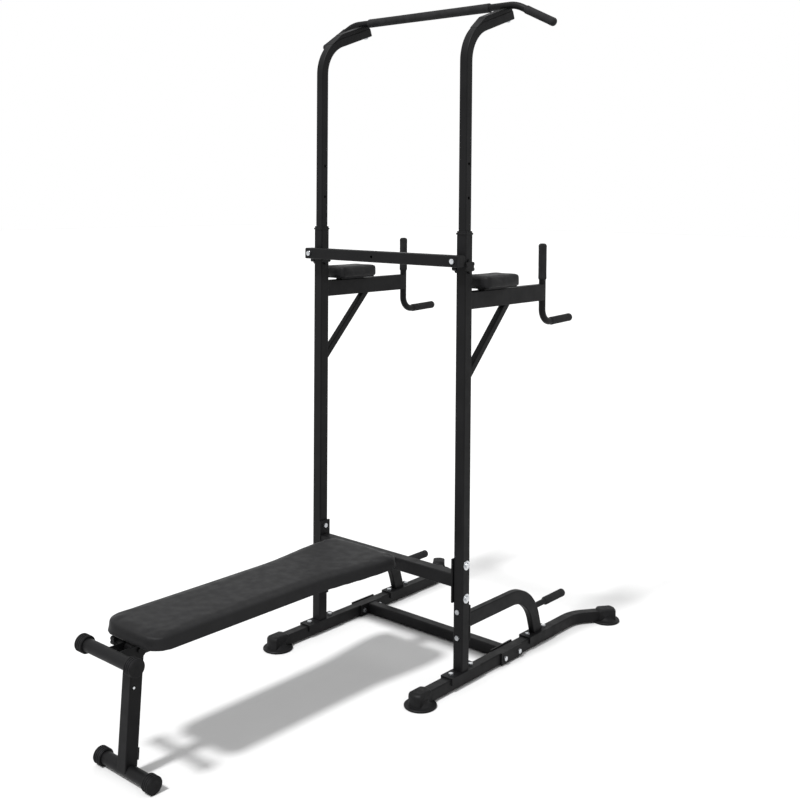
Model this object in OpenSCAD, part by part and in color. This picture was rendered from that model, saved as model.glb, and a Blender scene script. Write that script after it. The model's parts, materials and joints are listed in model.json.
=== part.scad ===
// Power tower: pull-up bar, dip station, push-up grips and a fold-up sit-up bench.
// X is the width, the bench points to -Y and the dip arms to +Y. The floor is Z = 0.

/* [Tower] */
// Distance between the centre lines of the two uprights
upright_gap = 680; // [640:10:720]
// Height of the uprights' top ends
upright_top = 1531; // [1520:1:1550]
// Side of the square base and upright tubes
tube = 40; // [40:1:42]
// Wall of every steel tube
wall = 2; // [1.5:0.5:2.5]
// Height of the upper crossbar's centre line
crossbar_z = 1443; // [1443:1:1450]

/* [Base] */
// Gap between the floor and the rails
rail_lift = 5; // [5:1:8]
// Distance from the uprights to the front feet
front_reach = 214; // [190:1:230]
// Where the rails start to bend outwards, behind the uprights
flare_start = 662; // [640:1:680]
// Angle of the outward bend at the rear
flare_angle = 36; // [25:1:38]
// Centre-line radius of the outward bend
flare_radius = 140; // [130:1:160]
// Straight length from the bend to the rear feet
flare_tail = 92; // [85:1:120]
// Outer radius of a rubber foot
foot_r = 54; // [50:1:58]
// Distance from the uprights to the floor crossbar
floor_bar_y = 265; // [240:1:290]

/* [Height-adjustable top] */
// Side of the square mast tubes
mast = 32; // [30:0.5:32]
// Height of the masts' lower ends
mast_bottom = 1300; // [1290:1:1340]
// Height where the masts start to bend over
mast_bend_z = 2113; // [2100:1:2130]
// Centre-line radius of the mast bends
mast_bend_r = 135; // [120:1:150]
// Rise of the mast arms above the horizontal
arm_rise = 20; // [15:1:25]
// Straight length of the mast arms
arm_len = 169; // [160:1:180]
// Spacing of the height holes
hole_pitch = 115; // [112:1:116]
// Outer radius of the pull-up bar
bar_r = 12.7; // [12:0.1:14]
// Distance from the middle to where the bar starts to bend down
bar_straight = 358; // [358:1:364]
// Slope of the bar's outer ends
bar_drop = 26; // [20:0.5:27]
// Overall width over the end grips
bar_width = 1114; // [1106:2:1124]

/* [Dip station] */
// Height of the dip arms' centre line
dip_z = 1308; // [1290:1:1320]
// Length of the dip arms behind the uprights
dip_len = 439; // [400:1:460]
// Height of the arm tubes
dip_h = 60; // [50:1:60]
// Slope of the diagonal braces
brace_slope = 46.4; // [42:0.1:50]
// Length of an arm pad
pad_len = 200; // [180:1:220]
// Width of an arm pad
pad_w = 120; // [100:1:130]
// Thickness of an arm pad
pad_t = 41; // [35:1:45]

/* [Push-up brace] */
// Height of the brace's centre line where it leaves the upright
push_z = 215; // [200:1:230]
// Height of the brace tube
push_h = 50; // [45:1:50]
// Width of the brace tube
push_w = 25; // [25:1:30]
// Angle of the brace's bend
push_bend = 73; // [70:1:76]
// Centre-line radius of the brace's bend
push_r = 150; // [140:1:160]

/* [Bench] */
// Height of the bench beam's centre line
beam_z = 355.5; // [350:0.5:360]
// Side of the bench beam
beam = 45; // [40:1:45]
// Top of the bench pad
pad_top = 435; // [430:1:440]
// Thickness of the bench pad
bench_t = 45; // [40:1:45]
// Length of the bench pad
bench_len = 1004; // [980:1:1010]
// Half of the width of the bench pad along its foot half
bench_half_w = 137; // [125:1:145]
// Half of the width of the bench pad at its tower end
bench_half_end = 165; // [150:1:175]
// Distance from the uprights to the leg's pivot
pivot_y = -1081; // [-1085:1:-1078]
// Height of the leg's pivot
pivot_z = 369; // [368:1:371]
// Lean of the leg, its foot away from the tower
leg_lean = 4; // [2:0.5:5]
// Outer radius of the leg and foot-hold tubes
round_r = 19; // [17:1:19]
// Outer radius of the ribbed tube caps
cap_r = 26; // [24:1:26]

/* [Hidden] */

$fn = 64;
half = upright_gap / 2;
inner = half - tube / 2;
bore_side = tube - 2 * wall;
tube_round = 5;
mast_round = 4;
// Hairline between a tube's bend and its straights, which keeps each of them a clean solid
seam = 0.02;
rail_z = rail_lift + tube / 2;
rail_top = rail_lift + tube;

// Rubber feet and the rear ends of the rails
foot_h = 52;
foot_wrap = 5;
foot_skirt = 8;
foot_reach = 40;
front_end = -front_reach - 30;
rear_over = 22;
flare_x = half + flare_radius * (1 - cos(flare_angle));
flare_y = flare_start + flare_radius * sin(flare_angle);
rear_foot_x = flare_x + flare_tail * sin(flare_angle);
rear_foot_y = flare_y + flare_tail * cos(flare_angle);

// Saddles that stand on the rails
saddle_t = 5;
saddle_drop = 18;
saddle_half = 78;
saddle_bolt = 54;
stand_z = rail_top + saddle_t;
push_saddle_half = 70;
push_saddle_bolt = 52;

// Floor crossbar plates
plate_t = 6;
plate_half = 62;
plate_top = rail_top + 2.5;
plate_bolt = 43;

// Fasteners
bolt_r = 5;
bolt_gap = 0.2;
head_r = 9;
head_h = 6;
washer_r = 16;
washer_h = 2;

// Sleeves between uprights and masts
sleeve_h = 12;
sleeve_side = tube + 6;
sleeve_depth = 40;
slide_gap = 0.3;

// Knobs
knob_z = 1424;
knob_r = 24.5;
knob_h = 17;
lobe_r = 7;
lobes = 6;
lock_h = 7;

// End plates of the bench beam
end_plate_h = 150;
end_plate_w = 50;
beam_bolt = 56.5;

// Push-up brace
push_plate_h = 122;
push_plate_w = 40;
push_plate_z = 209;
push_bolt = 44;
push_start = tube / 2 + plate_t;
push_bend_y = 289;
push_end_y = push_bend_y + push_r * sin(push_bend);
push_end_z = push_z - push_r * (1 - cos(push_bend));
push_leg = (push_end_z - stand_z) / sin(push_bend);
push_foot_y = push_end_y + push_leg * cos(push_bend);
grip_axis_z = 144;
grip_tube_r = 10.2;
grip_r = 15;
push_grip_y = 503;
push_grip_len = 132;
grip_cover = 12;

// Crossbar
crossbar_y = -(tube / 2 + plate_t + tube / 2);
crossbar_half = half + 18;
cap_t = 3;
cap_plug = 8;
spare_hole_x = -26;

// Dip station
dip_w = 30;
brace = 25;
brace_y = 233;
handle_y = tube / 2 + dip_len + bar_r;
handle_bend_r = 50;
handle_bend_z = 1246;
handle_bend = 92;
handle_tail = 129;
dip_grip_r = 15.5;
dip_grip_z = 1350;
dip_grip_len = 138;
handle_top = dip_grip_z + dip_grip_len - grip_cover;
lower_grip_at = -2;
foam_gap = 0.1;
pad_y = 154.5;
pad_z = 1349.5;
pad_round = 20;
mount_w = 30;
mount_len = 120;
board_t = 5;

// Bar on the mast arms
turn = 90 - arm_rise;
arm_y = mast_bend_r * (1 - cos(turn));
arm_z = mast_bend_z + mast_bend_r * sin(turn);
arm_end_y = arm_y + arm_len * cos(arm_rise);
arm_end_z = arm_z + arm_len * sin(arm_rise);
saddle_up = 8.2;
saddle_wrap = 7;
saddle_taper = 50;
saddle_skin = 3;
bar_inset = 16;
bar_off = mast / 2 + saddle_up + bar_r;
bar_y = arm_end_y - bar_inset * cos(arm_rise) - bar_off * sin(arm_rise);
bar_z = arm_end_z - bar_inset * sin(arm_rise) + bar_off * cos(arm_rise);
bar_bend_r = 125;
bar_end_x = bar_straight + bar_bend_r * sin(bar_drop);
bar_end_z = bar_z - bar_bend_r * (1 - cos(bar_drop));
end_grip_at = 12;
end_grip_r = 15;
bar_tail = (bar_width / 2 - bar_end_x - end_grip_r * sin(bar_drop)) / cos(bar_drop) - grip_cover;
foam_r = 16.5;
foam_left = -306;
foam_right = 277;

// Bench pad and board
pad_end_y = -105;
near_round = 60;
end_round = 45;
widen_y = -500;
widen_len = 300;
board_inset = 24;
board_z = pad_top - bench_t;
board_h = 6;
board_near = -1045;

// Bench frame and its hinge
frame_w = 44;
frame_h = 30;
frame_z = board_z - board_h - frame_h / 2;
frame_near = -58;
frame_far = -955;
hinge_y = -50;
hinge_r = 5;
hinge_fit = 0.05;
knuckle_r = 14.5;
ear_r = 16;
ear_t = 5;
ear_gap = 1;

// Cheek plates, leg and foot-hold tube
cheek_t = 4.5;
cheek_far = -840;
cheek_r = 25;
leg_knob_r = 18;
neck_r = 8;
neck_len = 50;
neck_bore = 20;
foot_y = -1165;
foot_z = 374;
foot_half = 134;
leg_half = 132;
ribbed_len = 32;
rib = 4;
post = 42;
leg_len = (pivot_z - cap_r) / cos(leg_lean);
leg_hole = 106;
leg_hole_r = 6.5;
leg_hole_y = -8;
button_r = 4;
gusset = 34;

// The origin lies on the floor in the middle of the whole footprint
tower_y = (cap_r - foot_y - rear_foot_y - foot_r) / 2;

coat = "#242427";
foam = "#1b1b1c";
rubber = "#202022";
cover = "#29292b";
plastic = "#18181a";
zinc = "#b9bcc0";

// ---- Shared shapes ----

module place() translate([0, tower_y, 0]) children();

// Right-hand parts are drawn on +X and mirrored for the left
module side(s) place() mirror([s < 0 ? 1 : 0, 0, 0]) children();

module along_y() rotate([-90, 0, 0]) children();

module along_x() rotate([0, 90, 0]) children();

// Rectangle with round corners
module bar2d(w, h, r) {
    square([w - 2 * r, h], center = true);
    square([w, h - 2 * r], center = true);
    for (x = [-1, 1]) for (y = [-1, 1])
        translate([x * (w / 2 - r), y * (h / 2 - r)]) circle(r = r, $fn = 32);
}

module tube2d(w, h, r) {
    difference() {
        bar2d(w, h, r);
        bar2d(w - 2 * wall, h - 2 * wall, r - wall);
    }
}

module ring2d(r) {
    difference() {
        circle(r = r);
        circle(r = r - wall);
    }
}

// Cutter for a bolt along Z through walls on both sides of the origin
module bolt_hole(len) translate([0, 0, -len / 2]) cylinder(r = bolt_r + bolt_gap, h = len, $fn = 32);

module nut() cylinder(r = head_r, h = head_h, $fn = 6);

module shank(len) translate([0, 0, -len]) cylinder(r = bolt_r, h = len, $fn = 32);

// Hex bolt with its seat at Z = 0
module bolt(len) {
    nut();
    shank(len);
}

// Foam grip along Z with rounded ends; a closed grip covers the tube's end
module grip(r, len, bore, closed) {
    e = 5;
    difference() {
        rotate_extrude() polygon(concat([[0, 0]],
            [for (a = [-90:15:0]) [r - e + e * cos(a), e + e * sin(a)]],
            [for (a = [0:15:90]) [r - e + e * cos(a), len - e + e * sin(a)]],
            [[0, len]]));
        translate([0, 0, -1]) cylinder(r = bore, h = closed ? len + 1 - grip_cover : len + 2);
    }
}

// Lobed knob along Z
module star(r, h) linear_extrude(h) {
    circle(r = r - 0.8 * lobe_r);
    for (i = [0:lobes - 1]) rotate(i * 360 / lobes)
        translate([r - lobe_r, 0]) circle(r = lobe_r, $fn = 32);
}

// Lobed knob along Z with a short stud below its seat
module knob(h, stud) {
    star(knob_r, h);
    translate([0, 0, -stud]) cylinder(r = bolt_r, h = stud + 1, $fn = 32);
}

// Channel that sits over a rail, centred on it, with its two bolt holes
module rail_saddle(len_half, bolt_at) {
    w = tube + 2 * saddle_t;
    difference() {
        translate([-w / 2, -len_half, rail_top - saddle_drop])
            cube([w, 2 * len_half, saddle_drop + saddle_t]);
        translate([-tube / 2, -len_half - 1, 0]) cube([tube, 2 * len_half + 2, rail_top]);
        for (d = [-1, 1]) translate([0, d * bolt_at, rail_top]) bolt_hole(4 * saddle_t);
    }
}

// Ribbed end cap along Z that closes a round tube, its flat end outwards
module ribbed_cap() {
    n = floor(ribbed_len / (2 * rib));
    difference() {
        union() {
            cylinder(r = cap_r - 2, h = ribbed_len);
            for (i = [0:n - 1]) translate([0, 0, 2 * rib * i + rib / 2]) cylinder(r = cap_r, h = rib);
        }
        translate([0, 0, -1]) cylinder(r = round_r, h = ribbed_len - 5 + 1);
    }
}

module cap_pair(len_half) {
    for (s = [-1, 1]) mirror([s < 0 ? 1 : 0, 0, 0])
        translate([len_half - ribbed_len, 0, 0]) along_x() ribbed_cap();
}

// Plug along Z that closes a square tube
module square_plug(w, r, len) {
    inside = w - 2 * wall - 2 * bolt_gap;
    linear_extrude(cap_t) bar2d(w, w, r);
    translate([0, 0, -len]) linear_extrude(len + 1) bar2d(inside, inside, r - wall);
}

// ---- Base ----

module rail_shape(filled) {
    module section() {
        if (filled) bar2d(tube, tube, tube_round);
        else tube2d(tube, tube, tube_round);
    }
    translate([half, front_end, rail_z]) along_y() linear_extrude(flare_start - front_end - seam) section();
    translate([half + flare_radius, flare_start, rail_z]) rotate([0, 0, 180 - flare_angle])
        rotate_extrude(angle = flare_angle, $fn = 128) translate([flare_radius, 0]) section();
    translate([flare_x, flare_y, rail_z]) rotate([0, 0, -flare_angle]) along_y() translate([0, 0, seam])
        linear_extrude(flare_tail + rear_over - seam) section();
}

module rail(s) {
    color(coat) side(s) difference() {
        rail_shape(false);
        for (d = [-1, 1]) {
            translate([half, d * saddle_bolt, rail_top]) bolt_hole(4 * wall);
            translate([half, push_foot_y + d * push_saddle_bolt, rail_top]) bolt_hole(4 * wall);
            translate([half, floor_bar_y + d * plate_bolt, rail_z]) along_x() bolt_hole(2 * tube);
        }
    }
}
module rail_left() rail(-1);
module rail_right() rail(1);

// Bell-shaped foot around the end of a rail that arrives from -Y
module foot_shape() {
    block = tube + 2 * foot_wrap;
    curve = 18;
    dome = 14;
    rotate_extrude($fn = 96) polygon(concat([[0, 0], [foot_r - 2, 0], [foot_r, 2],
        [foot_r, foot_skirt - 2], [foot_r - 2, foot_skirt]],
        [for (a = [0:15:90]) [foot_r - 8 - curve * sin(a), foot_skirt + curve * (1 - cos(a))]],
        [[0, foot_skirt + curve]]));
    intersection() {
        translate([0, -foot_reach, foot_h / 2]) along_y() linear_extrude(2 * foot_reach)
            bar2d(block, foot_h, 8);
        rotate_extrude($fn = 96) polygon(concat([[0, 0], [foot_reach, 0]],
            [for (a = [0:15:90]) [foot_reach - dome * (1 - cos(a)), foot_h - dome * (1 - sin(a))]],
            [[0, foot_h]]));
    }
}

module foot(s, rear) {
    color(rubber) side(s) difference() {
        if (rear) translate([rear_foot_x, rear_foot_y, 0]) rotate([0, 0, -flare_angle]) foot_shape();
        else translate([half, -front_reach, 0]) foot_shape();
        rail_shape(true);
    }
}
module foot_front_left() foot(-1, false);
module foot_front_right() foot(1, false);
module foot_rear_left() foot(-1, true);
module foot_rear_right() foot(1, true);

module rail_plate() translate([0, floor_bar_y, (plate_top + rail_lift) / 2])
    cube([plate_t, 2 * plate_half, plate_top - rail_lift], center = true);

module plate_bolts(at, len) {
    for (s = [-1, 1]) for (d = [-1, 1])
        translate([s * at, floor_bar_y + d * plate_bolt, rail_z]) along_x() bolt_hole(len);
}

module floor_crossbar() {
    color(coat) place() difference() {
        union() {
            translate([plate_t - inner, floor_bar_y, rail_z]) along_x()
                linear_extrude(2 * (inner - plate_t)) tube2d(tube, tube, tube_round);
            for (s = [-1, 1]) translate([s * (inner - plate_t / 2), 0, 0]) rail_plate();
        }
        plate_bolts(inner, 3 * plate_t);
    }
}

module backing_plates() {
    color(coat) place() difference() {
        for (s = [-1, 1]) translate([s * (half + tube / 2 + plate_t / 2), 0, 0]) rail_plate();
        plate_bolts(half + tube / 2, 3 * plate_t);
    }
}

module upright(s) {
    color(coat) side(s) {
        translate([half, 0, 0]) rail_saddle(saddle_half, saddle_bolt);
        difference() {
            translate([half, 0, stand_z - 1]) linear_extrude(upright_top - stand_z + 1)
                tube2d(tube, tube, tube_round);
            translate([half, 0, knob_z]) along_x() bolt_hole(2 * tube);
            for (d = [-1, 1]) {
                translate([half, 0, beam_z + d * beam_bolt]) along_x() bolt_hole(2 * tube);
                translate([half, 0, push_plate_z + d * push_bolt]) along_y() bolt_hole(2 * tube);
            }
            translate([half, -tube / 2, crossbar_z]) along_y() bolt_hole(4 * wall);
        }
    }
}
module upright_left() upright(-1);
module upright_right() upright(1);

// Plastic guide: a collar on top and a liner inside the upright
module sleeve(s) {
    liner = bore_side - 2 * slide_gap;
    color(plastic) side(s) translate([half, 0, upright_top]) difference() {
        union() {
            linear_extrude(sleeve_h / 2) bar2d(sleeve_side, sleeve_side, 8);
            linear_extrude(sleeve_h) bar2d(sleeve_side - 6, sleeve_side - 6, 6);
            translate([0, 0, -sleeve_depth]) linear_extrude(sleeve_depth + 1)
                bar2d(liner, liner, tube_round - wall);
        }
        translate([0, 0, -sleeve_depth - 1]) linear_extrude(sleeve_depth + sleeve_h + 2)
            bar2d(mast + 2 * slide_gap, mast + 2 * slide_gap, mast_round);
    }
}
module sleeve_left() sleeve(-1);
module sleeve_right() sleeve(1);

// Beam between the uprights with the two ears of the bench hinge
module bench_beam() {
    color(coat) place() difference() {
        union() {
            translate([plate_t - inner, 0, beam_z]) along_x()
                linear_extrude(2 * (inner - plate_t)) tube2d(beam, beam, tube_round);
            for (s = [-1, 1]) {
                translate([s * (inner - plate_t / 2), 0, beam_z])
                    cube([plate_t, end_plate_w, end_plate_h], center = true);
                translate([s * (frame_w / 2 + ear_gap + ear_t / 2), 0, frame_z]) {
                    translate([-ear_t / 2, hinge_y, 0]) along_x() cylinder(r = ear_r, h = ear_t);
                    translate([-ear_t / 2, hinge_y, -ear_r])
                        cube([ear_t, -hinge_y - beam / 2, 2 * ear_r - 8]);
                }
            }
        }
        for (s = [-1, 1]) for (d = [-1, 1])
            translate([s * inner, 0, beam_z + d * beam_bolt]) along_x() bolt_hole(3 * plate_t);
        translate([-frame_w, hinge_y, frame_z]) along_x() cylinder(r = hinge_r + hinge_fit, h = 2 * frame_w);
    }
}

// Bent tube from the upright to a saddle on the rail, with the stub of the push-up grip
module push_brace(s) {
    arc_z = push_z - push_r;
    color(coat) side(s) difference() {
        union() {
            translate([half, tube / 2 + plate_t / 2, push_plate_z])
                cube([push_plate_w, plate_t, push_plate_h], center = true);
            translate([half, push_start - 1, push_z]) along_y()
                linear_extrude(push_bend_y - push_start + 1 - seam) tube2d(push_w, push_h, mast_round);
            translate([half, push_bend_y, arc_z]) rotate([0, -90, 0])
                rotate_extrude(angle = push_bend, $fn = 128) translate([push_r, 0])
                tube2d(push_h, push_w, mast_round);
            intersection() {
                translate([half, push_end_y, push_end_z]) rotate([-push_bend, 0, 0]) along_y()
                    translate([0, 0, seam]) linear_extrude(push_leg + tube / 2)
                    tube2d(push_w, push_h, mast_round);
                translate([half - tube, 0, stand_z - 1]) cube([2 * tube, upright_gap, push_z]);
            }
            translate([half, push_foot_y, 0]) rail_saddle(push_saddle_half, push_saddle_bolt);
            translate([half, push_end_y, grip_axis_z]) along_y()
                cylinder(r = grip_tube_r, h = push_grip_y + push_grip_len - grip_cover - push_end_y);
        }
        for (d = [-1, 1]) translate([half, tube / 2, push_plate_z + d * push_bolt])
            along_y() bolt_hole(3 * plate_t);
    }
}
module push_brace_left() push_brace(-1);
module push_brace_right() push_brace(1);

module push_grip(s) {
    color(foam) side(s) translate([half, push_grip_y, grip_axis_z]) along_y()
        grip(grip_r, push_grip_len, grip_tube_r + foam_gap, true);
}
module push_grip_left() push_grip(-1);
module push_grip_right() push_grip(1);

// ---- Crossbar between the uprights ----

module crossbar() {
    color(coat) place() difference() {
        union() {
            translate([-crossbar_half, crossbar_y, crossbar_z]) along_x()
                linear_extrude(2 * crossbar_half) tube2d(tube, tube, tube_round);
            for (s = [-1, 1]) translate([s * half, -(tube + plate_t) / 2, crossbar_z])
                cube([tube, plate_t, tube - 2 * tube_round], center = true);
        }
        for (s = [-1, 1]) translate([s * half, crossbar_y, crossbar_z]) along_y() bolt_hole(2 * tube);
        translate([spare_hole_x, crossbar_y - tube / 2, crossbar_z]) along_y() bolt_hole(4 * wall);
    }
}

module crossbar_caps() {
    color(plastic) place() for (s = [-1, 1]) mirror([s < 0 ? 1 : 0, 0, 0])
        translate([crossbar_half, crossbar_y, crossbar_z]) along_x()
            square_plug(tube, tube_round, cap_plug);
}

// ---- Dip station ----

module dip_arm(s) {
    color(coat) side(s) difference() {
        translate([half, tube / 2, dip_z]) along_y() linear_extrude(handle_y - tube / 2)
            tube2d(dip_w, dip_h, mast_round);
        translate([half, handle_y, dip_z - dip_h]) cylinder(r = bar_r, h = 2 * dip_h);
    }
}
module dip_arm_left() dip_arm(-1);
module dip_arm_right() dip_arm(1);

module dip_brace(s) {
    run = (brace_y - tube / 2) / cos(brace_slope);
    arm_under = dip_z - dip_h / 2;
    color(coat) side(s) intersection() {
        translate([half, brace_y, arm_under]) rotate([brace_slope, 0, 0]) translate([0, -run - tube, 0])
            along_y() linear_extrude(run + 2 * tube) tube2d(brace, brace, mast_round);
        translate([half - tube, tube / 2, arm_under - upright_gap])
            cube([2 * tube, upright_gap, upright_gap]);
    }
}
module dip_brace_left() dip_brace(-1);
module dip_brace_right() dip_brace(1);

// Vertical tube on the arm's end that turns into a lower handle
module dip_handle(s) {
    color(coat) side(s) translate([half, handle_y, 0]) {
        translate([0, 0, handle_bend_z + seam]) linear_extrude(handle_top - handle_bend_z - seam)
            ring2d(bar_r);
        translate([0, handle_bend_r, handle_bend_z]) rotate([-90, 0, -90])
            rotate_extrude(angle = handle_bend, $fn = 96) translate([handle_bend_r, 0]) ring2d(bar_r);
        lower_end() translate([0, 0, seam]) linear_extrude(handle_tail - seam) ring2d(bar_r);
    }
}
module dip_handle_left() dip_handle(-1);
module dip_handle_right() dip_handle(1);

// Puts children on the straight lower end of the handle
module lower_end() translate([0, handle_bend_r * (1 - cos(handle_bend)),
    handle_bend_z - handle_bend_r * sin(handle_bend)]) rotate([handle_bend - 90, 0, 0]) along_y() children();

module dip_grip(s) {
    color(foam) side(s) translate([half, handle_y, dip_grip_z])
        grip(dip_grip_r, dip_grip_len, bar_r + foam_gap, true);
}
module dip_grip_left() dip_grip(-1);
module dip_grip_right() dip_grip(1);

module lower_grip(s) {
    color(foam) side(s) translate([half, handle_y, 0]) lower_end()
        translate([0, 0, lower_grip_at])
        grip(grip_r, handle_tail + grip_cover - lower_grip_at, bar_r + foam_gap, true);
}
module lower_grip_left() lower_grip(-1);
module lower_grip_right() lower_grip(1);

module arm_pad(s) {
    color(cover) side(s) translate([half, pad_y, pad_z]) linear_extrude(pad_t)
        bar2d(pad_w, pad_len, pad_round);
}
module arm_pad_left() arm_pad(-1);
module arm_pad_right() arm_pad(1);

// Board under the pad on a spacer that stands on the arm
module pad_mount(s) {
    arm_top = dip_z + dip_h / 2;
    spacer = pad_z - board_t - arm_top;
    color(coat) side(s) translate([half, pad_y, 0]) {
        translate([0, 0, pad_z - board_t]) linear_extrude(board_t)
            bar2d(pad_w - pad_round, pad_len - pad_round, pad_round / 2);
        translate([-mount_w / 2, -mount_len / 2, arm_top]) cube([mount_w, mount_len, spacer]);
    }
}
module pad_mount_left() pad_mount(-1);
module pad_mount_right() pad_mount(1);

// Lobed heads on the +X side of both uprights
module lock_heads() {
    color(plastic) place() for (s = [-1, 1]) translate([s * half + tube / 2, 0, knob_z]) along_x()
        knob(lock_h, wall);
}

// ---- Fasteners of the tower ----

module base_bolts() {
    reach = tube / 2 + plate_t;
    color(zinc) place() for (s = [-1, 1]) mirror([s < 0 ? 1 : 0, 0, 0]) for (d = [-1, 1]) {
        translate([half, d * saddle_bolt, stand_z]) bolt(tube / 2);
        translate([half, push_foot_y + d * push_saddle_bolt, stand_z]) bolt(tube / 2);
        translate([half + reach, floor_bar_y + d * plate_bolt, rail_z]) along_x() bolt(2 * reach);
        translate([half - reach, floor_bar_y + d * plate_bolt, rail_z]) rotate([0, -90, 0]) nut();
    }
}

module tower_bolts() {
    reach = tube / 2 + plate_t;
    color(zinc) place() for (s = [-1, 1]) mirror([s < 0 ? 1 : 0, 0, 0]) {
        for (d = [-1, 1]) {
            translate([half + tube / 2, 0, beam_z + d * beam_bolt]) along_x() {
                cylinder(r = washer_r, h = washer_h);
                cylinder(r = head_r, h = washer_h + head_h);
                shank(tube + plate_t);
            }
            translate([half - reach, 0, beam_z + d * beam_bolt]) rotate([0, -90, 0]) nut();
            translate([half, -tube / 2, push_plate_z + d * push_bolt]) rotate([90, 0, 0])
                bolt(tube + plate_t - wall);
        }
        translate([half, crossbar_y - tube / 2, crossbar_z]) rotate([90, 0, 0]) {
            cylinder(r = head_r, h = head_h);
            shank(tube + plate_t + wall);
        }
    }
}

// ---- Sliding top ----

// Puts children at the arm's outer end, with the arm along Y
module arm_end() translate([half, arm_end_y, arm_end_z]) rotate([arm_rise, 0, 0]) children();

module mast_tube(s) {
    color(coat) side(s) difference() {
        union() {
            translate([half, 0, mast_bottom]) linear_extrude(mast_bend_z - mast_bottom - seam)
                tube2d(mast, mast, mast_round);
            translate([half, mast_bend_r, mast_bend_z]) rotate([90, 0, -90])
                rotate_extrude(angle = turn, $fn = 128) translate([mast_bend_r, 0])
                tube2d(mast, mast, mast_round);
            translate([half, arm_y, arm_z]) rotate([arm_rise, 0, 0]) along_y() translate([0, 0, seam])
                linear_extrude(arm_len - seam) tube2d(mast, mast, mast_round);
        }
        for (i = [0:3]) translate([half, 0, knob_z + i * hole_pitch]) along_x() bolt_hole(2 * mast);
        arm_end() translate([0, -bar_inset, 0]) bolt_hole(2 * mast);
    }
}
module mast_left() mast_tube(-1);
module mast_right() mast_tube(1);

module mast_caps() {
    color(plastic) place() for (s = [-1, 1]) mirror([s < 0 ? 1 : 0, 0, 0])
        arm_end() along_y() square_plug(mast, mast_round, cap_plug / 2);
}

// Channels along the tops of the arms, tapered over the bend and hollowed to carry the bar
module bar_saddles() {
    top = mast / 2 + saddle_up + saddle_wrap;
    pocket = arm_len - 2 * bar_inset - saddle_skin;
    color(coat) place() for (s = [-1, 1]) mirror([s < 0 ? 1 : 0, 0, 0])
        difference() {
            arm_end() rotate([90, 0, 90]) translate([0, 0, -mast / 2]) linear_extrude(mast) difference() {
                polygon([[-arm_len - saddle_taper, 0], [-arm_len - saddle_taper, mast / 4],
                    [-arm_len + saddle_taper / 4, top], [0, top], [0, 0]]);
                translate([-arm_len, -2 * mast]) square([arm_len + 1, 2.5 * mast]);
                translate([-arm_len, -mast_bend_r]) circle(r = mast_bend_r + mast / 2, $fn = 128);
            }
            arm_end() translate([saddle_skin - mast / 2, -2 * bar_inset - pocket, 0])
                cube([mast - 2 * saddle_skin, pocket - saddle_taper / 4, top - saddle_skin]);
            translate([half - mast, bar_y, bar_z]) along_x() cylinder(r = bar_r, h = 2 * mast);
            arm_end() translate([0, -bar_inset, 0]) bolt_hole(4 * mast);
        }
}

module pull_bar() {
    color(coat) place() difference() {
        union() {
            translate([seam - bar_straight, bar_y, bar_z]) along_x()
                linear_extrude(2 * (bar_straight - seam)) ring2d(bar_r);
            for (s = [-1, 1]) mirror([s < 0 ? 1 : 0, 0, 0]) {
                translate([bar_straight, bar_y, bar_z - bar_bend_r]) rotate([-90, -90, 0])
                    rotate_extrude(angle = bar_drop, $fn = 96) translate([bar_bend_r, 0]) ring2d(bar_r);
                bar_end() translate([0, 0, seam]) linear_extrude(bar_tail - seam) ring2d(bar_r);
            }
        }
        for (s = [-1, 1]) mirror([s < 0 ? 1 : 0, 0, 0])
            arm_end() translate([0, -bar_inset, mast / 2 + saddle_up]) bolt_hole(4 * wall);
    }
}

// Puts children on the sloping outer end of the bar
module bar_end() translate([bar_end_x, bar_y, bar_end_z]) rotate([0, 90 + bar_drop, 0]) children();

module bar_foam() {
    color(foam) place() translate([foam_left, bar_y, bar_z]) along_x()
        grip(foam_r, foam_right - foam_left, bar_r + foam_gap, false);
}

module end_grip(s) {
    color(foam) side(s) bar_end() translate([0, 0, end_grip_at])
        grip(end_grip_r, bar_tail - end_grip_at + grip_cover, bar_r + foam_gap, true);
}
module end_grip_left() end_grip(-1);
module end_grip_right() end_grip(1);

module bar_bolts() {
    color(zinc) place() for (s = [-1, 1]) mirror([s < 0 ? 1 : 0, 0, 0])
        arm_end() translate([0, -bar_inset, -mast / 2]) rotate([180, 0, 0]) bolt(mast + saddle_up + 2 * wall);
}

// Star knobs that pull the locking pins, on the -X side of both uprights
module height_knob(s) {
    color(plastic) place() translate([s * half - tube / 2 - slide_gap, 0, knob_z]) rotate([0, -90, 0])
        knob(knob_h, wall + 1);
}
module height_knob_left() height_knob(-1);
module height_knob_right() height_knob(1);

// ---- Bench ----

// Half of the pad's width, growing smoothly towards the tower
function pad_half(y) =
    let (t = min(1, max(0, (y - widen_y) / widen_len)))
    bench_half_w + (bench_half_end - bench_half_w) * t * t * (3 - 2 * t);

// Outline of the pad seen from above, smaller by an inset all round
module bench_outline(inset) {
    near = pad_end_y - bench_len + inset;
    far = pad_end_y - inset;
    edge = concat(
        [for (a = [0:9:90]) [bench_half_w - inset - near_round * (1 - sin(a)),
            near + near_round * (1 - cos(a))]],
        [for (y = [widen_y:25:widen_y + widen_len]) [pad_half(y) - inset, y]],
        [for (a = [0:9:90]) [bench_half_end - inset - end_round * (1 - cos(a)),
            far - end_round * (1 - sin(a))]]);
    last = len(edge) - 1;
    polygon(concat(edge, [for (i = [last:-1:0]) [-edge[i][0], edge[i][1]]]));
}

module bench_pad() color(cover) place() translate([0, 0, board_z]) linear_extrude(bench_t) bench_outline(0);

module bench_board() color(plastic) place() translate([0, 0, board_z - board_h])
    linear_extrude(board_h) intersection() {
        bench_outline(board_inset);
        translate([-bench_half_end, board_near]) square([2 * bench_half_end, bench_len]);
    }

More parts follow.
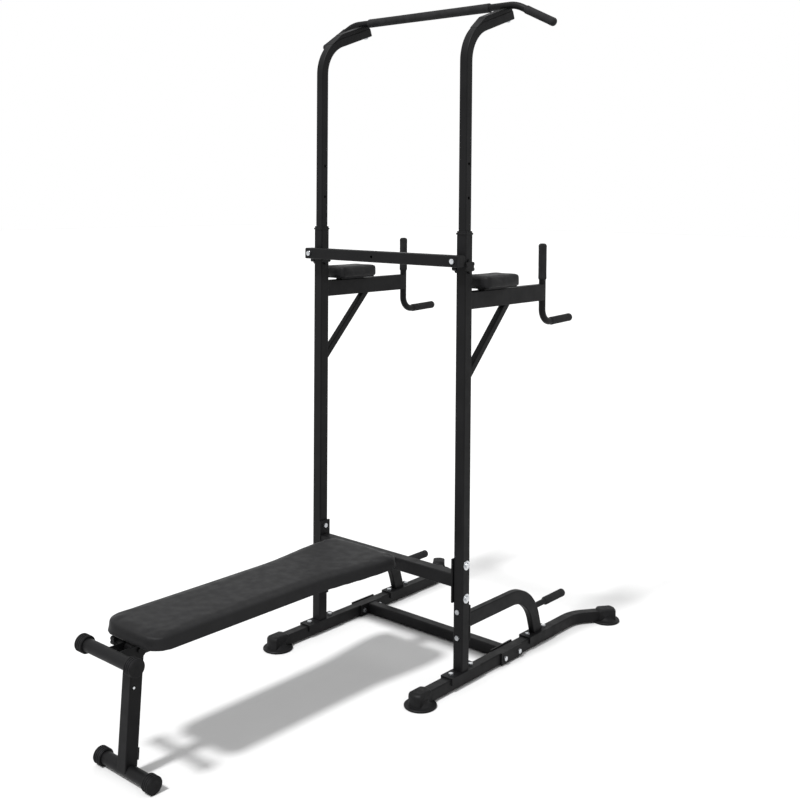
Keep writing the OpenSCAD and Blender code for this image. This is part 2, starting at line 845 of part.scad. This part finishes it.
// Tube under the board with the hinge knuckle at its tower end
module bench_frame() {
    color(coat) place() difference() {
        union() {
            translate([0, frame_far, frame_z]) along_y() linear_extrude(frame_near - frame_far)
                tube2d(frame_w, frame_h, mast_round);
            translate([-frame_w / 2, hinge_y, frame_z]) along_x() cylinder(r = knuckle_r, h = frame_w);
        }
        translate([-frame_w, hinge_y, frame_z]) along_x() bolt_hole(4 * frame_w);
    }
}

// Side plates that carry the leg and the foot-hold tube
module bench_cheeks() {
    color(coat) place() for (s = [-1, 1]) translate([s * (frame_w + cheek_t) / 2, 0, 0])
        rotate([90, 0, 90]) translate([0, 0, -cheek_t / 2]) difference() {
            linear_extrude(cheek_t) {
                translate([foot_y + cheek_t, frame_z - frame_h / 2])
                    square([cheek_far - foot_y - cheek_t, frame_h]);
                intersection() {
                    translate([pivot_y, pivot_z]) circle(r = cheek_r);
                    translate([pivot_y - cheek_r, pivot_z - cheek_r]) square([2 * cheek_r, cheek_r]);
                }
            }
            translate([foot_y, foot_z, -cheek_t]) cylinder(r = round_r, h = 3 * cheek_t);
            translate([pivot_y, pivot_z, -cheek_t]) cylinder(r = bolt_r + bolt_gap, h = 3 * cheek_t);
        }
}

module foot_tube() color(coat) place() translate([-foot_half + 5, foot_y, foot_z]) along_x()
    linear_extrude(2 * (foot_half - 5)) ring2d(round_r);

module foot_tube_caps() color(rubber) place() translate([0, foot_y, foot_z]) cap_pair(foot_half);

// Hinge pin at the beam and pivot bolt of the leg
module bench_pins() {
    module pin(left, right) {
        translate([-left, 0, 0]) along_x() cylinder(r = hinge_r, h = left + right + 1);
        translate([right, 0, 0]) along_x() nut();
    }
    beam_reach = frame_w / 2 + ear_gap + ear_t + slide_gap;
    cheek_reach = frame_w / 2 + cheek_t;
    color(coat) place() {
        translate([0, hinge_y, frame_z]) {
            pin(beam_reach + 1, beam_reach);
            translate([-beam_reach - head_h, 0, 0]) along_x() nut();
        }
        translate([0, pivot_y, pivot_z]) pin(cheek_reach + slide_gap + neck_bore - 1, cheek_reach);
    }
}

// ---- Leg ----

// Puts children in the leg's own frame: pivot at the origin, the leg downwards
module on_leg() place() translate([0, pivot_y, pivot_z]) rotate([-leg_lean, 0, 0]) children();

module leg_post() {
    color(coat) on_leg() difference() {
        union() {
            translate([0, 0, -leg_len]) linear_extrude(leg_len - 4) tube2d(post, post, mast_round);
            translate([-post / 2, 0, 0]) along_x() cylinder(r = post / 2 - wall, h = post);
            translate([-wall, 0, -leg_len + round_r - 2]) cube([2 * wall, post / 2 + gusset / 2, gusset]);
        }
        translate([-post, 0, -leg_len]) along_x() cylinder(r = round_r, h = 2 * post);
        translate([-post, 0, 0]) along_x() cylinder(r = hinge_r + hinge_fit, h = 2 * post);
        translate([0, leg_hole_y, -leg_hole]) along_x() cylinder(r = leg_hole_r, h = post);
    }
}

module leg_tube() color(coat) on_leg() translate([-leg_half + 5, 0, -leg_len]) along_x()
    linear_extrude(2 * (leg_half - 5)) ring2d(round_r);

module leg_caps() color(rubber) on_leg() translate([0, 0, -leg_len]) cap_pair(leg_half);

// Sprung button that shows in the leg's hole
module leg_button() color(zinc) on_leg() translate([wall - post / 2, leg_hole_y, -leg_hole]) along_x()
    cylinder(r = button_r, h = post - wall + 1);

// Knob with a long neck, screwed on the end of the leg's pivot bolt
module leg_knob() color(plastic) place() translate([-frame_w / 2 - cheek_t - slide_gap, pivot_y, pivot_z])
    rotate([0, -90, 0]) difference() {
        union() {
            cylinder(r = neck_r, h = neck_len + 1);
            translate([0, 0, neck_len]) star(leg_knob_r, knob_h);
        }
        translate([0, 0, -1]) cylinder(r = hinge_r + hinge_fit, h = neck_bore + 1);
    }

rail_left();
rail_right();
foot_front_left();
foot_front_right();
foot_rear_left();
foot_rear_right();
floor_crossbar();
backing_plates();
upright_left();
upright_right();
sleeve_left();
sleeve_right();
bench_beam();
push_brace_left();
push_brace_right();
push_grip_left();
push_grip_right();
crossbar();
crossbar_caps();
dip_arm_left();
dip_arm_right();
dip_brace_left();
dip_brace_right();
dip_handle_left();
dip_handle_right();
dip_grip_left();
dip_grip_right();
lower_grip_left();
lower_grip_right();
arm_pad_left();
arm_pad_right();
pad_mount_left();
pad_mount_right();
lock_heads();
base_bolts();
tower_bolts();
mast_left();
mast_right();
mast_caps();
bar_saddles();
pull_bar();
bar_foam();
end_grip_left();
end_grip_right();
bar_bolts();
height_knob_left();
height_knob_right();
bench_frame();
bench_cheeks();
bench_board();
bench_pad();
foot_tube();
foot_tube_caps();
bench_pins();
leg_knob();
leg_button();
leg_post();
leg_tube();
leg_caps();
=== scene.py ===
import json
import math

import bmesh
import bpy
from mathutils import Matrix, Vector


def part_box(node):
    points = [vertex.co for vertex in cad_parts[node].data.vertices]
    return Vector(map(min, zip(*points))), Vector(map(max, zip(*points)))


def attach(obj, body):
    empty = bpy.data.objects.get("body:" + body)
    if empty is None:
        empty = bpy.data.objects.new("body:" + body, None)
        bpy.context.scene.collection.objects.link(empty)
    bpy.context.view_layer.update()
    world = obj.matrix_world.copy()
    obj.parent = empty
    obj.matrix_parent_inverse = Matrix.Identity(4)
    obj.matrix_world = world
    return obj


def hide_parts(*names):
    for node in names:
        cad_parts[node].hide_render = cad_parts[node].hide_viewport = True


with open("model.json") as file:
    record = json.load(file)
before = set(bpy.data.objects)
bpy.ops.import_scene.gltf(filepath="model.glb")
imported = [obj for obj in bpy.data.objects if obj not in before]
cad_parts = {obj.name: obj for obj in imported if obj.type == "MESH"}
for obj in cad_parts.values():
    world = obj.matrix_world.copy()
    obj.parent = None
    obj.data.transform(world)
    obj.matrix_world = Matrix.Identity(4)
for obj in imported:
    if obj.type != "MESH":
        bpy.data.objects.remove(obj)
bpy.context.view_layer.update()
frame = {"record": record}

# Position of the uprights along Y, from the sleeve that sits on one of them
tower_y = sum(c.y for c in map(Vector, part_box("sleeve_right"))) / 2


# ---- Materials ----

def linear(code):
    """Linear colour, with alpha 1, from an sRGB hex code."""
    parts = [int(code[i:i + 2], 16) / 255 for i in (0, 2, 4)]
    return [c / 12.92 if c <= 0.04045 else ((c + 0.055) / 1.055) ** 2.4 for c in parts] + [1.0]


def node(tree, kind, settings=None, links=None, **values):
    """Adds a node, sets its properties and input values, and links its inputs to other nodes' outputs."""
    made = tree.nodes.new(kind)
    for name, value in (settings or {}).items():
        setattr(made, name, value)
    for name, value in values.items():
        made.inputs[name.replace("_", " ")].default_value = value
    for name, source in (links or {}).items():
        tree.links.new(source, made.inputs[name])
    return made


def material(name, colour, rough, metal=0.0, specular=0.5):
    """New material with its plain shader, and the tree, shader and object coordinates to add detail to."""
    made = bpy.data.materials.new(name)
    made.use_nodes = True
    tree = made.node_tree
    shader = tree.nodes["Principled BSDF"]
    shader.inputs["Base Color"].default_value = linear(colour)
    shader.inputs["Roughness"].default_value = rough
    shader.inputs["Metallic"].default_value = metal
    shader.inputs["Specular IOR Level"].default_value = specular
    where = node(tree, "ShaderNodeTexCoord").outputs["Object"]
    return made, tree, shader, where


# Part of a noise's range that its patterns use, since most of the noise lies inside it
noise_low, noise_high = 0.35, 0.65


def clouded(tree, shader, where, scale, dark, light):
    """Base colour that drifts between two hex codes, in patches of the given scale."""
    noise = node(tree, "ShaderNodeTexNoise", links={"Vector": where}, Scale=scale, Detail=3)
    ramp = node(tree, "ShaderNodeValToRGB", links={"Fac": noise.outputs["Fac"]})
    for stop, place, code in zip(ramp.color_ramp.elements, (noise_low, noise_high), (dark, light)):
        stop.position = place
        stop.color = linear(code)
    tree.links.new(ramp.outputs["Color"], shader.inputs["Base Color"])


def handled(tree, shader, where, scale, smooth, dull):
    """Roughness that drifts between two values, in patches of the given scale, as handling leaves it."""
    noise = node(tree, "ShaderNodeTexNoise", links={"Vector": where}, Scale=scale, Detail=3)
    span = node(tree, "ShaderNodeMapRange", links={"Value": noise.outputs["Fac"]},
                From_Min=noise_low, From_Max=noise_high, To_Min=smooth, To_Max=dull)
    tree.links.new(span.outputs["Result"], shader.inputs["Roughness"])


def powder_coat():
    """Satin black polyester powder on steel: fine orange peel about 2 mm across, soft highlights."""
    made, tree, shader, where = material("satin black powder coat", "0d0d0e", 0.5, specular=0.12)
    clouded(tree, shader, where, 9, "0b0b0c", "0f0f10")
    handled(tree, shader, where, 30, 0.44, 0.54)
    peel = node(tree, "ShaderNodeTexNoise", links={"Vector": where}, Scale=450, Detail=2)
    bump = node(tree, "ShaderNodeBump", links={"Height": peel.outputs["Fac"]},
                Strength=0.35, Distance=0.0002)
    tree.links.new(bump.outputs["Normal"], shader.inputs["Normal"])
    return made


def moulded_rubber():
    """Moulded black rubber: dull, a little greyer where it is handled, fine mould texture."""
    made, tree, shader, where = material("moulded black rubber", "0e0e0f", 0.62, specular=0.14)
    clouded(tree, shader, where, 25, "0c0c0d", "121213")
    handled(tree, shader, where, 60, 0.52, 0.7)
    grit = node(tree, "ShaderNodeTexNoise", links={"Vector": where}, Scale=900, Detail=2)
    bump = node(tree, "ShaderNodeBump", links={"Height": grit.outputs["Fac"]},
                Strength=0.4, Distance=0.0003)
    tree.links.new(bump.outputs["Normal"], shader.inputs["Normal"])
    return made


def closed_foam():
    """Closed-cell nitrile foam sleeve: very dull, with pores drawn 1.2 mm across so they show."""
    made, tree, shader, where = material("closed-cell black foam", "18181a", 0.85, specular=0.2)
    clouded(tree, shader, where, 40, "151516", "1d1d1e")
    pores = node(tree, "ShaderNodeTexVoronoi", links={"Vector": where}, Scale=800)
    bump = node(tree, "ShaderNodeBump", links={"Height": pores.outputs["Distance"]},
                Strength=0.5, Distance=0.0005)
    tree.links.new(bump.outputs["Normal"], shader.inputs["Normal"])
    return made


def moulded_plastic():
    """Injection-moulded black nylon: spark-eroded matt texture, soft broad shine."""
    made, tree, shader, where = material("moulded black nylon", "0d0d0e", 0.5, specular=0.14)
    handled(tree, shader, where, 50, 0.44, 0.58)
    spark = node(tree, "ShaderNodeTexNoise", links={"Vector": where}, Scale=1200, Detail=2)
    bump = node(tree, "ShaderNodeBump", links={"Height": spark.outputs["Fac"]},
                Strength=0.3, Distance=0.0002)
    tree.links.new(bump.outputs["Normal"], shader.inputs["Normal"])
    return made


def zinc_plate():
    """Bright zinc-plated steel: silvery, faintly clouded, with a slightly uneven shine."""
    made, tree, shader, where = material("bright zinc plate", "c4c6c9", 0.3, metal=1.0)
    clouded(tree, shader, where, 80, "b2b5b9", "d3d5d7")
    handled(tree, shader, where, 300, 0.22, 0.4)
    return made


# Height of the creases against that of the grain cells
crease_share = 0.2


def leatherette():
    """Embossed black polyurethane leather: pebbled grain of about 2.5 mm, creased softly between."""
    made, tree, shader, where = material("black grained polyurethane leather", "121213", 0.55, specular=0.16)
    clouded(tree, shader, where, 7, "111112", "131314")
    handled(tree, shader, where, 35, 0.5, 0.6)
    grain = node(tree, "ShaderNodeTexVoronoi", {"feature": "SMOOTH_F1"}, {"Vector": where}, Scale=400)
    crease = node(tree, "ShaderNodeTexNoise", links={"Vector": where}, Scale=60, Detail=4)
    both = node(tree, "ShaderNodeMath", {"operation": "MULTIPLY_ADD"},
                {0: crease.outputs["Fac"], 2: grain.outputs["Distance"]})
    both.inputs[1].default_value = crease_share
    bump = node(tree, "ShaderNodeBump", links={"Height": both.outputs["Value"]},
                Strength=0.25, Distance=0.0005)
    tree.links.new(bump.outputs["Normal"], shader.inputs["Normal"])
    return made


def studio_floor():
    """Matt pale studio board, faintly uneven, which the key light brings to white."""
    made, tree, shader, where = material("pale studio board", "c8c8c8", 0.9, specular=0.1)
    clouded(tree, shader, where, 2, "c6c6c6", "cacaca")
    return made


finish = {
    "coated_steel": powder_coat(), "rubber_feet": moulded_rubber(), "foam_grips": closed_foam(),
    "pad_cover": leatherette(), "black_plastic": moulded_plastic(), "zinc_bolts": zinc_plate(),
}
slot_of = {part["node"]: part["material_slot"] for part in frame["record"]["subparts"]}


def dress(piece, slot):
    """Gives a piece the finish of its material slot."""
    piece.data.materials.clear()
    piece.data.materials.append(finish[slot])


for name, slot in slot_of.items():
    dress(bpy.data.objects[name], slot)


# ---- Shared modelling ----

body_of = {part: body for body, parts in frame["record"]["behaviour"]["bodies"].items() for part in parts}

# Faces that meet at less than this angle, in radians, are shaded as one smooth surface
smooth_below = 0.6
# Loose triangle corners closer than this, in metres, are one point
same_point = 1e-5
# Faces that lie within this angle, in radians, of one plane are one face
same_plane = 0.01


def merged_copy(name):
    """A bmesh copy of a CAD node, with its triangles joined into the faces that they make up."""
    bm = bmesh.new()
    bm.from_mesh(bpy.data.objects[name].data)
    bmesh.ops.remove_doubles(bm, verts=bm.verts, dist=same_point)
    bmesh.ops.dissolve_limit(bm, angle_limit=same_plane, verts=bm.verts, edges=bm.edges)
    return bm


def piece_from(bm, name, node_name, smooth=smooth_below):
    """Makes a piece from a bmesh, which takes the place, body and finish of a CAD node."""
    bmesh.ops.recalc_face_normals(bm, faces=bm.faces)
    mesh = bpy.data.meshes.new(name)
    bm.to_mesh(mesh)
    bm.free()
    made = bpy.data.objects.new(name, mesh)
    bpy.context.scene.collection.objects.link(made)
    mesh.shade_smooth()
    mesh.set_sharp_from_angle(angle=smooth)
    dress(made, slot_of[node_name])
    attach(made, body_of[node_name])
    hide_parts(node_name)
    return made


# ---- Softened edges ----

# Widths of the rounded edges, in metres
knob_round = 0.0022
foot_round = 0.0025
cap_round = 0.001
bolt_round = 0.0008
tube_round = 0.0009
# An edge that turns by more than this is a corner
corner_angle = math.radians(35)


def softened(name, width, steps=2):
    """Replaces a node by a copy whose edges are rounded, as casting, moulding or coating leaves them."""
    made = piece_from(merged_copy(name), name + "_soft", name)
    edge = made.modifiers.new("round", "BEVEL")
    edge.width = width
    edge.segments = steps
    edge.limit_method = "ANGLE"
    edge.angle_limit = corner_angle
    edge.use_clamp_overlap = True
    edge.harden_normals = True


for part in ("height_knob_left", "height_knob_right", "leg_knob", "lock_heads"):
    softened(part, knob_round, 3)
for part in ("foot_front_left", "foot_front_right", "foot_rear_left", "foot_rear_right"):
    softened(part, foot_round, 3)
for part in ("crossbar_caps", "mast_caps", "sleeve_left", "sleeve_right", "foot_tube_caps", "leg_caps"):
    softened(part, cap_round)
for part in ("base_bolts", "tower_bolts", "bar_bolts", "bench_pins", "leg_button"):
    softened(part, bolt_round)
for part in ("upright_left", "upright_right", "backing_plates", "bench_cheeks", "bar_saddles"):
    softened(part, tube_round)


# ---- Foam grips ----

# Radii of the foam and of the tubes in it, in metres
bar_foam_r = 0.0165
dip_foam_r = 0.0155
grip_foam_r = 0.015
bar_bore = 0.0128
stub_bore = 0.0103
# Radius of a sleeve's shoulder, at a moulded closed end and at a cut open one
closed_shoulder = 0.01
open_shoulder = 0.005
# Depths of the waist and of the ripples that the foam keeps from its moulding
waist = 0.0004
ripple = 0.00015
ripple_turn = 9
shoulder_steps = 6
middle_steps = 12
round_steps = 48
# Slopes of the grips on the dip handles and on the ends of the pull-up bar
lower_grip_slope = math.radians(2)
end_grip_slope = math.radians(26)


def foam_sleeve(name, radius, bore, start, end, closed):
    """Turned foam sleeve with round shoulders, a slight waist and an open or closed far end."""
    start, end = Vector(start), Vector(end)
    length = (end - start).length
    shoulder = closed_shoulder if closed else open_shoulder
    turn = [math.pi / 2 * i / shoulder_steps for i in range(shoulder_steps + 1)]
    bm = bmesh.new()
    ring = [(bore, 0.0)]
    for a in turn:
        ring.append((radius - shoulder + shoulder * math.sin(a), shoulder - shoulder * math.cos(a)))
    for i in range(1, middle_steps):
        t = i / middle_steps
        hollow = waist * math.sin(math.pi * t) + ripple * math.sin(ripple_turn * t)
        ring.append((radius - hollow, shoulder + (length - 2 * shoulder) * t))
    for a in turn:
        ring.append((radius - shoulder + shoulder * math.cos(a), length - shoulder + shoulder * math.sin(a)))
    ring.append((0.0, length) if closed else (bore, length))
    if not closed:
        ring.append((bore, 0.0))
    dots = [bm.verts.new((r, 0, z)) for r, z in ring]
    lines = [bm.edges.new(pair) for pair in zip(dots, dots[1:])]
    bmesh.ops.spin(bm, geom=dots + lines, cent=(0, 0, 0), axis=(0, 0, 1), angle=2 * math.pi,
                   steps=round_steps, use_merge=True)
    bmesh.ops.remove_doubles(bm, verts=bm.verts, dist=same_point / 10)
    bmesh.ops.holes_fill(bm, edges=bm.edges, sides=0)
    aim = (end - start).to_track_quat("Z", "Y").to_matrix().to_4x4()
    bmesh.ops.transform(bm, matrix=Matrix.Translation(start) @ aim, verts=bm.verts)
    piece_from(bm, name + "_foam", name)


def straight_foam(name, axis, radius, bore, closed):
    """Foam sleeve along a row axis, in the box of the node that it replaces."""
    lo, hi = (Vector(c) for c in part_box(name))
    start, end = (lo + hi) / 2, (lo + hi) / 2
    start[axis], end[axis] = lo[axis], hi[axis]
    foam_sleeve(name, radius, bore, start, end, closed)


def sloping_foam(name, radius, bore, way):
    """Closed foam sleeve that points along way, in the box of the node that it replaces."""
    lo, hi = (Vector(c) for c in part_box(name))
    way = Vector(way).normalized()
    axis = max(range(3), key=lambda i: abs(way[i]))
    across = radius * math.sqrt(1 - way[axis] ** 2)
    length = (hi[axis] - lo[axis] - 2 * across) / abs(way[axis])
    mid = (lo + hi) / 2
    foam_sleeve(name, radius, bore, mid - way * length / 2, mid + way * length / 2, True)


straight_foam("bar_foam", 0, bar_foam_r, bar_bore, False)
for hand, side in (("left", -1), ("right", 1)):
    straight_foam("push_grip_" + hand, 1, grip_foam_r, stub_bore, True)
    straight_foam("dip_grip_" + hand, 2, dip_foam_r, bar_bore, True)
    sloping_foam("lower_grip_" + hand, grip_foam_r, bar_bore,
                 (0, math.cos(lower_grip_slope), math.sin(lower_grip_slope)))
    sloping_foam("end_grip_" + hand, grip_foam_r, bar_bore,
                 (side * math.cos(end_grip_slope), 0, -math.sin(end_grip_slope)))


# ---- Upholstered pads ----

# Share of foam in a pad's volume, for the soft rows
cloth_pressure = 4
cloth_frames = 20
smoothing_rounds = 2
# Height above the board, in cells of the mesh, up to which the board holds the cover
held_cells = 0.6


def bake(made):
    """Puts what the modifiers give into the piece's own mesh."""
    ready = made.evaluated_get(bpy.context.evaluated_depsgraph_get())
    mesh = bpy.data.meshes.new_from_object(ready)
    made.modifiers.clear()
    made.data = mesh
    mesh.shade_smooth()


def cushion(name, margin, sunk, edge, grid, swell):
    """Upholstered pad with a rolled top edge, inflated as cloth with its underside held by the board.

    It starts smaller than its box, by margin all round and by sunk at the top, its top edge is rounded
    by edge, its mesh has cells of the size grid, and no point swells by more than swell. All in metres.
    """
    lo, hi = (Vector(c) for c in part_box(name))
    mid = (lo + hi) / 2
    bm = merged_copy(name)
    for v in bm.verts:
        v.co.x = mid.x + (v.co.x - mid.x) * (1 - 2 * margin / (hi.x - lo.x))
        v.co.y = mid.y + (v.co.y - mid.y) * (1 - 2 * margin / (hi.y - lo.y))
        if v.co.z > mid.z:
            v.co.z -= sunk
    top = [e for e in bm.edges if all(v.co.z > mid.z for v in e.verts)]
    bmesh.ops.bevel(bm, geom=top, offset=edge, segments=4, profile=0.5, affect="EDGES", material=-1)
    low = [e for e in bm.edges if all(v.co.z < lo.z + 10 * same_point for v in e.verts)]
    bmesh.ops.bevel(bm, geom=low, offset=edge / 2, segments=2, profile=0.5, affect="EDGES", material=-1)
    made = piece_from(bm, name + "_cover", name, smooth=math.pi)
    cells = made.modifiers.new("cells", "REMESH")
    cells.mode = "VOXEL"
    cells.voxel_size = grid
    bake(made)
    held = made.vertex_groups.new(name="board")
    held.add([v.index for v in made.data.vertices if v.co.z < lo.z + held_cells * grid], 1.0, "REPLACE")
    flat = [v.co.copy() for v in made.data.vertices]
    cloth = made.modifiers.new("cloth", "CLOTH")
    cloth.settings.use_pressure = True
    cloth.settings.uniform_pressure_force = cloth_pressure
    cloth.settings.effector_weights.gravity = 0
    cloth.settings.vertex_group_mass = "board"
    cloth.point_cache.frame_end = cloth_frames
    for f in range(1, cloth_frames + 1):
        bpy.context.scene.frame_set(f)
    bake(made)
    for v, old in zip(made.data.vertices, flat):
        step = v.co - old
        if step.length > swell:
            v.co = old + step * (swell / step.length)
        v.co = Vector(min(max(c, a), b) for c, a, b in zip(v.co, lo, hi))
    bpy.context.scene.frame_set(1)
    made.vertex_groups.clear()
    bm = bmesh.new()
    bm.from_mesh(made.data)
    for i in range(smoothing_rounds):
        bmesh.ops.smooth_vert(bm, verts=[v for v in bm.verts if v.co.z > lo.z + grid], factor=0.5,
                              use_axis_x=True, use_axis_y=True, use_axis_z=True)
    bm.to_mesh(made.data)
    bm.free()
    fine = made.modifiers.new("fine", "SUBSURF")
    fine.levels = fine.render_levels = 1


cushion("bench_pad", margin=0.002, sunk=0.003, edge=0.009, grid=0.007, swell=0.005)
for hand in ("left", "right"):
    cushion("arm_pad_" + hand, margin=0.002, sunk=0.002, edge=0.006, grid=0.005, swell=0.004)


# ---- Camera, floor and light ----

# Where the camera stands, with its place along Y told from the uprights, and how it is turned
camera_x, camera_ahead, camera_z = 2.5927, 2.919, 1.6626
camera_turn, camera_tilt, camera_roll = (math.radians(a) for a in (40.63, 88.47, 0.43))
floor_half = 40

shot = bpy.data.objects.new("camera", bpy.data.cameras.new("camera"))
bpy.context.scene.collection.objects.link(shot)
bpy.context.scene.camera = shot
shot.data.sensor_width = 36
shot.data.lens = 49.248
shot.data.shift_x = -0.0100
shot.data.shift_y = -0.2196
shot.data.clip_end = 60
stand = Matrix.Translation((camera_x, tower_y - camera_ahead, camera_z))
aim = Matrix.Rotation(camera_turn, 4, "Z") @ Matrix.Rotation(camera_tilt, 4, "X")
shot.matrix_world = stand @ aim @ Matrix.Rotation(camera_roll, 4, "Z")


def floor_board():
    """Plain board on the floor, far wider than the view."""
    bm = bmesh.new()
    bmesh.ops.create_grid(bm, x_segments=4, y_segments=4, size=floor_half)
    mesh = bpy.data.meshes.new("floor")
    bm.to_mesh(mesh)
    bm.free()
    made = bpy.data.objects.new("floor", mesh)
    bpy.context.scene.collection.objects.link(made)
    mesh.materials.append(studio_floor())


floor_board()


# Soft key light, high on the bench's side, aimed at the middle of the object
key_spot = Vector((0, -2.7, 5))
key_target = Vector((0, 0, 1))

light = bpy.data.lights.new("high soft key", "SUN")
light.energy = 4
light.angle = math.radians(7)
key = bpy.data.objects.new("high soft key", light)
bpy.context.scene.collection.objects.link(key)
key.location = key_spot
key.rotation_euler = (key_target - key_spot).to_track_quat("-Z", "Y").to_euler()

# Plain tone curve, so that the lit board and the surroundings come out white
bpy.context.scene.view_settings.view_transform = "Standard"

world = bpy.data.worlds.new("studio")
bpy.context.scene.world = world
world.use_nodes = True
world.node_tree.nodes["Background"].inputs["Color"].default_value = linear("ffffff")
world.node_tree.nodes["Background"].inputs["Strength"].default_value = 1.0
